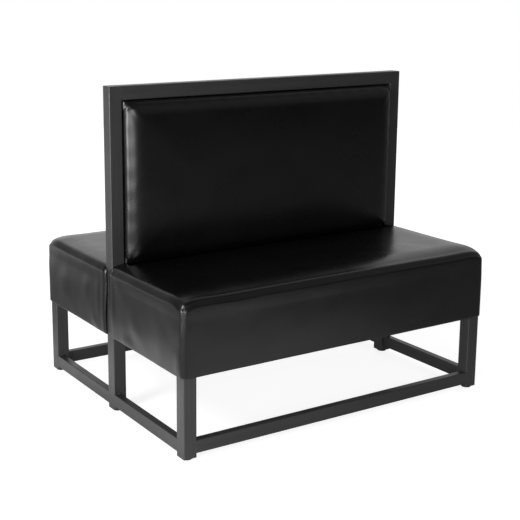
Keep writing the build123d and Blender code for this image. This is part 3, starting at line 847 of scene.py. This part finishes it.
def shape_foam(points, folds):
    """The foam's outer faces follow the vinyl, and its inner faces stay flat on the boards and the deck."""
    x, y, z = points.T
    on_deck = (np.abs(x) < deck_high.x + NEAR) & (y > deck_low.y - NEAR) & (z < deck_high.z + NEAR)
    outer = shape_seat(points, folds, FOAM_INSET, seams=False)
    gap = np.sqrt((seat_x - np.abs(x)) ** 2 + (y + seat_y) ** 2)
    in_pad = smooth_step(deck_high.z, seat_top - 10 * MM, z)
    slack = bell(gap, 30 * MM, 1.5) * (2.5 * MM + 8.0 * MM * in_pad)
    under_panel = smooth_step(panel_face_y - 30 * MM, panel_face_y - 6 * MM, y)
    outer[:, 2] -= 5.0 * MM * under_panel * in_pad
    outer = outer - slack[:, None] * np.stack([np.sign(x), -np.ones_like(x), np.ones_like(x)], axis=-1)
    outer[:, 2] = np.maximum(outer[:, 2], foam_foot)
    beside_deck = np.where(z < deck_high.z + NEAR, np.minimum(np.abs(x), deck_high.x), 0)
    outer[:, 0] = np.sign(x) * np.maximum(np.abs(outer[:, 0]), beside_deck)
    return np.where(on_deck[:, None], points, outer)


def tongue_block():
    """The strip of foam under the back panel, between the posts."""
    low = np.array([-tongue_x + 2 * MM, foam_rear_y + 0.2 * MM, deck_high.z + 0.1 * MM])
    high = np.array([tongue_x - 2 * MM, deck_high.y, tuck_top - FOAM_INSET - 0.3 * MM])
    x_lines = lines_both_ends(low[0], high[0], 3 * MM, 1.3, 30 * MM)
    y_lines, z_lines = (lines_both_ends(low[i], high[i], *FOAM_GRID, 8 * MM) for i in (1, 2))
    patches = []
    for sign, end in ((-1, low), (1, high)):
        patches += [
            (patch(y_lines, z_lines, at_x(end[0])), sign < 0),
            (patch(x_lines, z_lines, at_y(end[1])), sign > 0),
            (patch(x_lines, y_lines, at_z(end[2])), sign < 0),
        ]
    return sheet_from(patches)


def build_seat(row):
    """Vinyl and foam of one seat. The row is -1 for the front seat and 1 for the rear one."""
    place = "front" if row < 0 else "rear"
    folds = FRONT_END_FOLDS if row < 0 else REAR_END_FOLDS
    points, faces = sheet_from(seat_patches())
    cover = mesh_piece(f"{place}_seat_vinyl", *mirrored(shape_seat(points, folds), faces, row), vinyl)
    thickened(cover, VINYL_THICKNESS)
    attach(cover, BOOTH)

    points, faces = sheet_from(foam_patches())
    points = shape_foam(points, folds)
    strip, strip_faces = tongue_block()
    faces = faces + [[corner + len(points) for corner in face] for face in strip_faces]
    points = np.concatenate([points, strip])
    pad = mesh_piece(f"{place}_seat_foam", *mirrored(points, faces, row), foam)
    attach(pad, BOOTH)
    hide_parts(f"{place}_seat_pad", f"{place}_seat_side_foam")
    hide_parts(f"{place}_seat_cover")


# Back panels, made for the front one and mirrored for the rear one

PANEL_FULLNESS = 1.8 * MM
PANEL_ROUND = 8 * MM
panel_x = panel_high.x + PANEL_FULLNESS
panel_back = panel_high.y
panel_mid_z = (panel_low.z + panel_high.z) / 2
panel_z = (panel_high.z - panel_low.z) / 2 + PANEL_FULLNESS

# The face's roll along its edges, the pulls of its seams, the fans at its corners and its unevenness
EDGE_ROLL, SIDE_ROLL_WIDTH, RIM_ROLL_WIDTH = 29 * MM, 64 * MM, 50 * MM
EDGE_FALL, EDGE_FALL_WIDTH = 7 * MM, 60 * MM
PILLOW_FALL, PILLOW_LIFT = 2.0 * MM, 3.0 * MM
PULL_HEIGHT, PULL_WIDTH = 0.45 * MM, 42 * MM
SIDE_PULL_PITCH, RIM_PULL_PITCH = 69 * MM, 73 * MM
FAN_HEIGHT, FAN_REACH, FAN_WIDTH, FAN_FOLDS = 1.0 * MM, 40 * MM, 30 * MM, 12
FACE_UNEVENNESS = 0.9 * MM
WAIST_DEPTH, WAIST_WIDTH = 1.2 * MM, 30 * MM


def panel_patches(step, closed):
    """The panel's box as grids: its face, its four sides and, where closed, its back."""
    x_lines = lines_both_ends(-panel_x, panel_x, step, 1.2, 6 * step)
    z_lines = lines_both_ends(panel_low.z, panel_high.z, step, 1.2, 6 * step)
    depth_lines = panel_low.y + graded(panel_back - panel_low.y, step, 1.2, 4 * step)
    patches = [(patch(x_lines, z_lines, at_y(panel_low.y)), False)]
    for sign in (-1, 1):
        patches += [
            (patch(depth_lines, z_lines, at_x(sign * panel_x)), sign < 0),
            (patch(x_lines, depth_lines, at_z(panel_mid_z + sign * panel_z)), sign < 0),
        ]
    if closed:
        patches.append((patch(x_lines, z_lines, at_y(panel_back)), True))
    return patches


def round_panel(x, y, up, inset):
    """Rounds the edges of the box-shaped sheet round its face, drawn in by inset."""
    core_x = np.clip(x, -(panel_x - PANEL_ROUND), panel_x - PANEL_ROUND)
    core_up = np.clip(up, -(panel_z - PANEL_ROUND), panel_z - PANEL_ROUND)
    core_y = np.maximum(y, panel_low.y + PANEL_ROUND)
    from_x, from_y, from_up = ((v - c) / PANEL_ROUND for v, c in ((x, core_x), (y, core_y), (up, core_up)))
    flat = (np.abs(from_x) ** 8 + np.abs(from_up) ** 8) ** (1 / 8)
    size = np.maximum(np.sqrt(flat**2 + from_y**2), 1e-9)
    reach = (PANEL_ROUND - inset) / size
    return core_x + from_x * reach, core_y + from_y * reach, core_up + from_up * reach


def face_fall(x, up, to_side, to_rim, box_x, box_up):
    """How far the panel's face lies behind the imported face: rolled edges, pulls along them and unevenness."""
    nearest = np.minimum(to_side, to_rim)
    rolled_side = np.clip(1 - to_side / SIDE_ROLL_WIDTH, 0, 1)
    rolled_rim = np.clip(1 - to_rim / RIM_ROLL_WIDTH, 0, 1)
    rolled = np.clip((rolled_side**3 + rolled_rim**3) ** (1 / 3), 0, 0.995)
    fall = EDGE_ROLL * (1 - np.sqrt(1 - rolled**2)) + EDGE_FALL * bell(nearest, EDGE_FALL_WIDTH, 1.2)
    fall += PILLOW_FALL * np.abs(x / panel_x) ** 3 + PILLOW_FALL * (up / panel_z) ** 2 - PILLOW_LIFT
    near_edge = bell(nearest, 70 * MM, 1.6)
    rim_pulls = np.sin(box_x * 2 * pi / RIM_PULL_PITCH) * bell(to_rim, PULL_WIDTH)
    side_pulls = np.sin(box_up * 2 * pi / SIDE_PULL_PITCH) * bell(to_side, PULL_WIDTH)
    corner = np.sqrt(to_side**2 + to_rim**2)
    fan = np.cos(np.arctan2(to_rim, to_side) * FAN_FOLDS) * bell(corner - FAN_REACH, FAN_WIDTH)
    edges = (PULL_HEIGHT * (rim_pulls + side_pulls) + FAN_HEIGHT * fan) * near_edge
    uneven = ripple(np.stack([x, np.zeros_like(x), up], axis=-1), 9.0, (3.3, 7.7, 1.2))
    return fall + (edges - FACE_UNEVENNESS * uneven * (1 - near_edge))


def waist(to_edge, along):
    """How far a side is drawn in, most at its middle."""
    return WAIST_DEPTH * (1 - np.abs(along) ** 2.5) * bell(to_edge, WAIST_WIDTH)


def shape_panel(points, inset=0.0):
    """Moves the box's points to the stuffed panel, drawn in by inset on its outer faces."""
    box_x, box_y, box_z = points.T
    box_up = box_z - panel_mid_z
    x, y, up = round_panel(box_x, box_y, box_up, inset)
    to_side, to_rim = panel_x - np.abs(x), panel_z - np.abs(up)
    face = smooth_step(panel_back - 4 * MM, panel_low.y + 6 * MM, y)
    y = y + face_fall(x, up, to_side, to_rim, box_x, box_up) * face
    side_draw, rim_draw = waist(to_side, up / panel_z), waist(to_rim, x / panel_x)
    forward = smooth_step(panel_back, panel_low.y + 12 * MM, box_y)
    x = x - np.sign(x) * side_draw * forward
    up = up - np.sign(up) * rim_draw * forward
    return np.stack([x, y, up + panel_mid_z], axis=-1)


def build_panel(row):
    """Vinyl and foam of one back panel."""
    place = "front" if row < 0 else "rear"
    points, faces = sheet_from(panel_patches(1.3 * MM, False))
    cover = mesh_piece(f"{place}_panel_vinyl", *mirrored(shape_panel(points), faces, row), vinyl)
    thickened(cover, VINYL_THICKNESS)
    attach(cover, BOOTH)
    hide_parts(f"{place}_panel_cover")

    points, faces = sheet_from(panel_patches(2.2 * MM, True))
    shaped = shape_panel(points, 3.0 * MM)
    back_share = smooth_step(panel_back, panel_low.y, points[:, 1])
    shaped[:, 1] = shaped[:, 1] - (panel_back - backing_low.y) * (1 - back_share)
    pad = mesh_piece(f"{place}_panel_foam", *mirrored(shaped, faces, row), foam)
    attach(pad, BOOTH)
    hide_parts(f"{place}_panel_pad")


# Dust covers and their staples, underneath

CLOTH_GRID = (5 * MM, 1.15)
CLOTH_THICKNESS = 0.5 * MM
CLOTH_MARGIN, NOTCH_MARGIN = 1 * MM, 4 * MM
CLOTH_SAG = 4.5 * MM
PLEAT_HEIGHT, PLEAT_PITCH = 0.5 * MM, 46 * MM


def build_dust_cover(row):
    """Thin black cloth pulled over the underside of one seat and notched round its two legs."""
    place = "front" if row < 0 else "rear"
    half_x = dust_high.x - CLOTH_MARGIN
    front_y, rear_y = dust_low.y + CLOTH_MARGIN, dust_high.y - CLOTH_MARGIN
    notch_x = leg_low.x - NOTCH_MARGIN
    notch_y = leg_high.y + NOTCH_MARGIN
    x_lines = lines_both_ends(-half_x, half_x, *CLOTH_GRID, 12 * MM, (-notch_x, notch_x))
    y_lines = lines_both_ends(front_y, rear_y, *CLOTH_GRID, 12 * MM, (notch_y,))
    x_middle = x_lines[np.abs(x_lines) < notch_x + NEAR]
    y_behind = y_lines[y_lines > notch_y - NEAR]
    level = at_z(dust_low.z + 0.1 * MM)
    patches = [(patch(x_middle, y_lines, level), True)]
    for sign in (-1, 1):
        patches.append((patch(x_lines[x_lines * sign > notch_x - NEAR], y_behind, level), True))
    points, faces = sheet_from(patches)
    x, y, _ = points.T
    in_from_edge = np.minimum(half_x - np.abs(x), np.minimum(y - front_y, rear_y - y))
    past_notch = np.maximum(notch_x - np.abs(x), y - notch_y)
    free = smooth_step(0, 60 * MM, in_from_edge) * smooth_step(0, 50 * MM, past_notch)
    sag = CLOTH_SAG * free * (0.8 + 0.5 * ripple(points, 6.0, (2.0, row * 3.0, 0)))
    pleats = PLEAT_HEIGHT * np.sin(x * 2 * pi / PLEAT_PITCH) * bell(in_from_edge - 14 * MM, 13 * MM)
    points[:, 2] -= sag + pleats * free
    cover = mesh_piece(f"{place}_dust_cover", *mirrored(points, faces, row), cloth)
    thickened(cover, CLOTH_THICKNESS)
    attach(cover, BOOTH)
    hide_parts(f"{place}_seat_dust_cover")


def repeat_tree(name, sizes, material, unit):
    """A node tree that sets copies of a small mesh along the edges of a guide, with slight unevenness."""
    tree = bpy.data.node_groups.new(name, "GeometryNodeTree")
    tree.interface.new_socket("Guide", in_out="INPUT", socket_type="NodeSocketGeometry")
    sockets = {}
    for size_name, value in sizes.items():
        socket = tree.interface.new_socket(size_name, in_out="INPUT", socket_type="NodeSocketFloat")
        socket.default_value = value
        sockets[size_name] = socket.identifier
    tree.interface.new_socket("Result", in_out="OUTPUT", socket_type="NodeSocketGeometry")
    given = added(tree, "NodeGroupInput").outputs
    path = added(tree, "GeometryNodeMeshToCurve", {"Mesh": given["Guide"]})
    spacing = {"Curve": path.outputs["Curve"], "Length": given["Pitch"]}
    spaced = added(tree, "GeometryNodeResampleCurve", spacing, mode="LENGTH")
    shape = added(tree, "GeometryNodeObjectInfo", {"Object": unit})
    heading = added(tree, "GeometryNodeInputTangent")
    turn_inputs = {"Vector": heading.outputs["Tangent"]}
    turn = added(tree, "FunctionNodeAlignRotationToVector", turn_inputs, axis="X")
    draw = {"Seed": 7, "Min": (-1, -1, -1), "Max": (1, 1, 1)}
    tilt = added(tree, "FunctionNodeRandomValue", draw, data_type="FLOAT_VECTOR")
    swing_inputs = {"Scale": given["Unevenness"], 0: tilt.outputs["Value"]}
    swing = added(tree, "ShaderNodeVectorMath", swing_inputs, operation="SCALE")
    to_turn = added(tree, "FunctionNodeEulerToRotation", {"Euler": swing.outputs[0]})
    rotations = {"Rotation": turn.outputs["Rotation"], "Rotate By": to_turn.outputs["Rotation"]}
    both = added(tree, "FunctionNodeRotateRotation", rotations, rotation_space="LOCAL")
    placing = {
        "Points": spaced.outputs["Curve"],
        "Instance": shape.outputs["Geometry"],
        "Rotation": both.outputs["Rotation"],
        "Scale": given["Size"],
    }
    copies = added(tree, "GeometryNodeInstanceOnPoints", placing)
    real = added(tree, "GeometryNodeRealizeInstances", {"Geometry": copies.outputs["Instances"]})
    dressing = {"Geometry": real.outputs["Geometry"], "Material": material}
    finish = added(tree, "GeometryNodeSetMaterial", dressing)
    added(tree, "NodeGroupOutput", {"Result": finish.outputs["Geometry"]})
    return tree, sockets


def repeat_along(name, lines, sizes, material, unit):
    """A plain mesh of copies along polylines, made by Geometry Nodes."""
    points = [point for line in lines for point in line]
    edges, first = [], 0
    for line in lines:
        edges += [(first + k, first + k + 1) for k in range(len(line) - 1)]
        first += len(line)
    guide_mesh = bpy.data.meshes.new(name + "_guide")
    guide_mesh.from_pydata(points, edges, [])
    guide = in_scene(name + "_guide", guide_mesh)
    tree, sockets = repeat_tree(name + "_tree", sizes, material, unit)
    maker = guide.modifiers.new("copies", "NODES")
    maker.node_group = tree
    for size_name, value in sizes.items():
        maker[sockets[size_name]] = value
    view = bpy.context.evaluated_depsgraph_get()
    mesh = bpy.data.meshes.new_from_object(guide.evaluated_get(view))
    mesh.name = name
    piece = in_scene(name, mesh)
    guide.modifiers.remove(maker)
    bpy.data.objects.remove(guide)
    bpy.data.objects.remove(unit)
    return piece


# A ripple's width along the weld, as a share of its length across it
RIPPLE_WIDTH = 0.62


def weld_ripple():
    """One ripple of weld metal: a low round scale, 1 unit in radius, lying across X."""
    mesh = bpy.data.meshes.new("weld_ripple")
    form = bmesh.new()
    bmesh.ops.create_icosphere(form, subdivisions=1, radius=1)
    for corner in form.verts:
        corner.co.x *= RIPPLE_WIDTH
    form.to_mesh(mesh)
    form.free()
    mesh.polygons.foreach_set("use_smooth", [True] * len(mesh.polygons))
    return in_scene("weld_ripple", mesh)


def weld_lines():
    """The corners where the bottom rails meet the legs and the posts: along the top, then down inside."""
    inset = 1.2 * MM
    rail_top, rail_foot = rail_high.z, rail_low.z + inset
    inner_y, rail_end = -rail_high.y, rail_high.x
    inner_x, end_outer = end_rail_low.x, end_rail_high.x
    lines = []
    for side in (-1, 1):
        for row in (-1, 1):
            long_rail = [
                (side * rail_end, row * (-rail_low.y - 2 * inset), rail_top),
                (side * rail_end, row * inner_y, rail_top),
                (side * rail_end, row * inner_y, rail_foot),
            ]
            lines.append(long_rail)
            for joint_y in (-leg_high.y, post_high.y):
                end_rail = [
                    (side * (end_outer - 2 * inset), row * joint_y, rail_top),
                    (side * inner_x, row * joint_y, rail_top),
                    (side * inner_x, row * joint_y, rail_foot),
                ]
                lines.append(end_rail)
    return lines


def build_weld_beads():
    """Beads of weld ripples at the bottom rails' joints."""
    sizes = {"Pitch": 1.9 * MM, "Size": 2.5 * MM, "Unevenness": 0.16}
    beads = repeat_along("bottom_rail_weld_beads", weld_lines(), sizes, coat_up, weld_ripple())
    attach(beads, BOOTH)


# The outline of a filled groove in millimetres: across the joint, and outwards from the tube's face
GROUND_SECTION = ((-4.2, -0.5), (-3.4, 0.04), (3.4, 0.04), (4.2, -0.5), (0.6, -3.0), (-0.6, -3.0))
GROUND_LEVELS = 9
GROUND_MARGIN = 1.6 * MM


def ground_weld_strips():
    """Where tubes meet flush: the corner, the directions outwards and across, the foot and the head."""
    strips = []
    for side in (-1, 1):
        for row in (-1, 1):
            strips += [
                ((side * post_low.x, row * post_high.y), (0, row), (1, 0), top_rail_low.z, top_rail_high.z),
                ((side * rail_high.x, row * -rail_low.y), (0, row), (1, 0), rail_low.z, rail_high.z),
                ((side * leg_high.x, row * -leg_high.y), (side, 0), (0, 1), rail_low.z, rail_high.z),
                ((side * post_high.x, row * post_high.y), (side, 0), (0, 1), rail_low.z, rail_high.z),
            ]
    return strips


def build_ground_welds():
    """Welds ground flat where tubes are flush. They fill the groove between the tubes' round corners."""
    points, faces = [], []
    count = len(GROUND_SECTION)
    for corner, outward, across, foot, head in ground_weld_strips():
        corner, outward, across = (np.array(v, float) for v in (corner, outward, across))
        first = len(points)
        for level in np.linspace(foot + GROUND_MARGIN, head - GROUND_MARGIN, GROUND_LEVELS):
            for a, b in GROUND_SECTION:
                at = corner + across * a * MM + outward * b * MM
                points.append((at[0], at[1], level))
        rings = []
        for k in range(GROUND_LEVELS - 1):
            for j in range(count):
                a, b = first + k * count + j, first + k * count + (j + 1) % count
                rings.append([a, b, b + count, a + count])
        rings.append([first + j for j in range(count)][::-1])
        rings.append([first + (GROUND_LEVELS - 1) * count + j for j in range(count)])
        clockwise = across[0] * outward[1] - across[1] * outward[0] > 0
        faces += [ring[::-1] for ring in rings] if clockwise else rings
    welds = mesh_piece("ground_welds", np.array(points), faces, coat_up)
    welds.data.polygons.foreach_set("use_smooth", [False] * len(welds.data.polygons))
    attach(welds, BOOTH)


def wire_staple():
    """An upholstery staple in metres: a flat crown along X and two legs up into the board."""
    mesh = bpy.data.meshes.new("wire_staple")
    form = bmesh.new()
    half, leg, bend = 5.2 * MM, 7 * MM, 0.9 * MM
    wire, breadth = 0.35 * MM, 1.7
    path = [(-half, 0, leg), (-half, 0, bend), (-half + bend, 0, 0)]
    path += [(-x, y, z) for x, y, z in reversed(path)]
    sideways = Vector((0, 1, 0))
    rings = []
    for k, at in enumerate(path):
        before, after = path[max(k - 1, 0)], path[min(k + 1, len(path) - 1)]
        out = (Vector(after) - Vector(before)).normalized().cross(sideways)
        ring = []
        for a, b in ((-1, -1), (1, -1), (1, 1), (-1, 1)):
            ring.append(form.verts.new(Vector(at) + sideways * a * wire * breadth + out * b * wire))
        rings.append(ring)
    for one, two in zip(rings, rings[1:]):
        for j in range(4):
            form.faces.new((one[j], one[(j + 1) % 4], two[(j + 1) % 4], two[j]))
    form.faces.new(rings[0][::-1])
    form.faces.new(rings[-1])
    bmesh.ops.recalc_face_normals(form, faces=form.faces)
    form.to_mesh(mesh)
    form.free()
    return in_scene("wire_staple", mesh)


def build_staples(row):
    """Staples that hold the dust cover to the boards, at the front and both ends."""
    place = "front" if row < 0 else "rear"
    margin, leg_clearance = 5 * MM, 14 * MM
    x_row, y_row = dust_high.x - margin, row * (-dust_low.y - margin)
    level = dust_low.z - 0.3 * MM
    front_end = leg_low.x - leg_clearance
    end_start, end_stop = row * (-leg_high.y - leg_clearance), row * (-dust_high.y + 12 * MM)
    lines = [[(-front_end, y_row, level), (front_end, y_row, level)]]
    for side in (-1, 1):
        lines.append([(side * x_row, end_start, level), (side * x_row, end_stop, level)])
    sizes = {"Pitch": 43 * MM, "Size": 1.0, "Unevenness": 0.05}
    staples = repeat_along(f"{place}_dust_cover_staples", lines, sizes, zinc, wire_staple())
    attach(staples, BOOTH)


for row in (-1, 1):
    build_seat(row)
    build_panel(row)
    build_dust_cover(row)
    build_staples(row)
build_weld_beads()
build_ground_welds()
